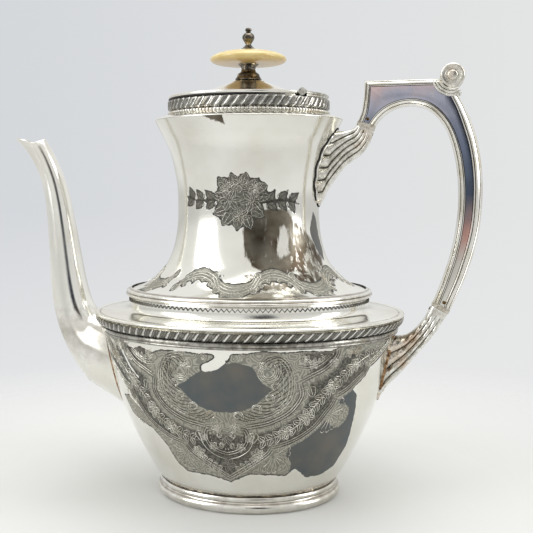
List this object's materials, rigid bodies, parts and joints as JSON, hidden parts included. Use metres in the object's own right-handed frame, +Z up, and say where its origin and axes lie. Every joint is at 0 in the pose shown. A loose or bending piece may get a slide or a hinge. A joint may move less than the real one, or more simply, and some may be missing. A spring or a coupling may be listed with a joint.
{
  "type": "coffee pot",
  "caption": "Oval coffee pot in silver plate with swan-neck spout, hollow handle on insulated sockets, hinged lid with button finial and gadroon borders.",
  "frame": {"origin": "centre of the foot's rest face", "axes": "+Z up, +X to the handle, -X to the spout, so the near side faces -Y"},
  "size_m": [0.2652, 0.149, 0.2588],
  "materials": {
    "silver": "polished silver plate with light wear",
    "silver_trim": "silver plate with dark oxide in its hollows",
    "aged_silver": "silver plate gone dark",
    "ivory": "polished, ivory coloured",
    "brass": "dull"
  },
  "bodies": {
    "pot": {"foot_rim": "silver", "base_plate": "silver", "lower_body": "silver", "shoulder_wire": "silver_trim", "shoulder_gadroon": "silver_trim", "shoulder_plate": "silver", "neck_collar": "silver_trim", "neck": "silver", "neck_flange": "silver", "rim_moulding": "silver_trim", "rim_gadroon": "silver_trim", "mouth_sleeve": "silver", "hinge_plate": "silver", "fixed_knuckles": "silver", "hinge_pin": "silver", "spout_near_half": "silver", "spout_far_half": "silver", "upper_socket": "silver_trim", "upper_insulator": "ivory", "upper_pins": "brass", "grip_near_half": "silver", "grip_far_half": "silver", "thumb_scroll": "silver", "lower_insulator": "ivory", "lower_pins": "brass", "lower_socket": "silver_trim"},
    "lid": {"lid_shell": "silver", "lid_bezel": "silver", "lid_knuckles": "silver", "finial_stem": "aged_silver", "finial_button": "ivory", "finial_cap": "aged_silver", "finial_stud": "silver", "finial_nut": "brass", "finial_washer": "silver"}
  },
  "joints": [
    {"name": "lid_hinge", "type": "hinge", "parent": "pot", "child": "lid", "pos_m": [0.033, 0, 0.2213], "axis": [0, 1, 0], "range_deg": [0, 105]}
  ]
}
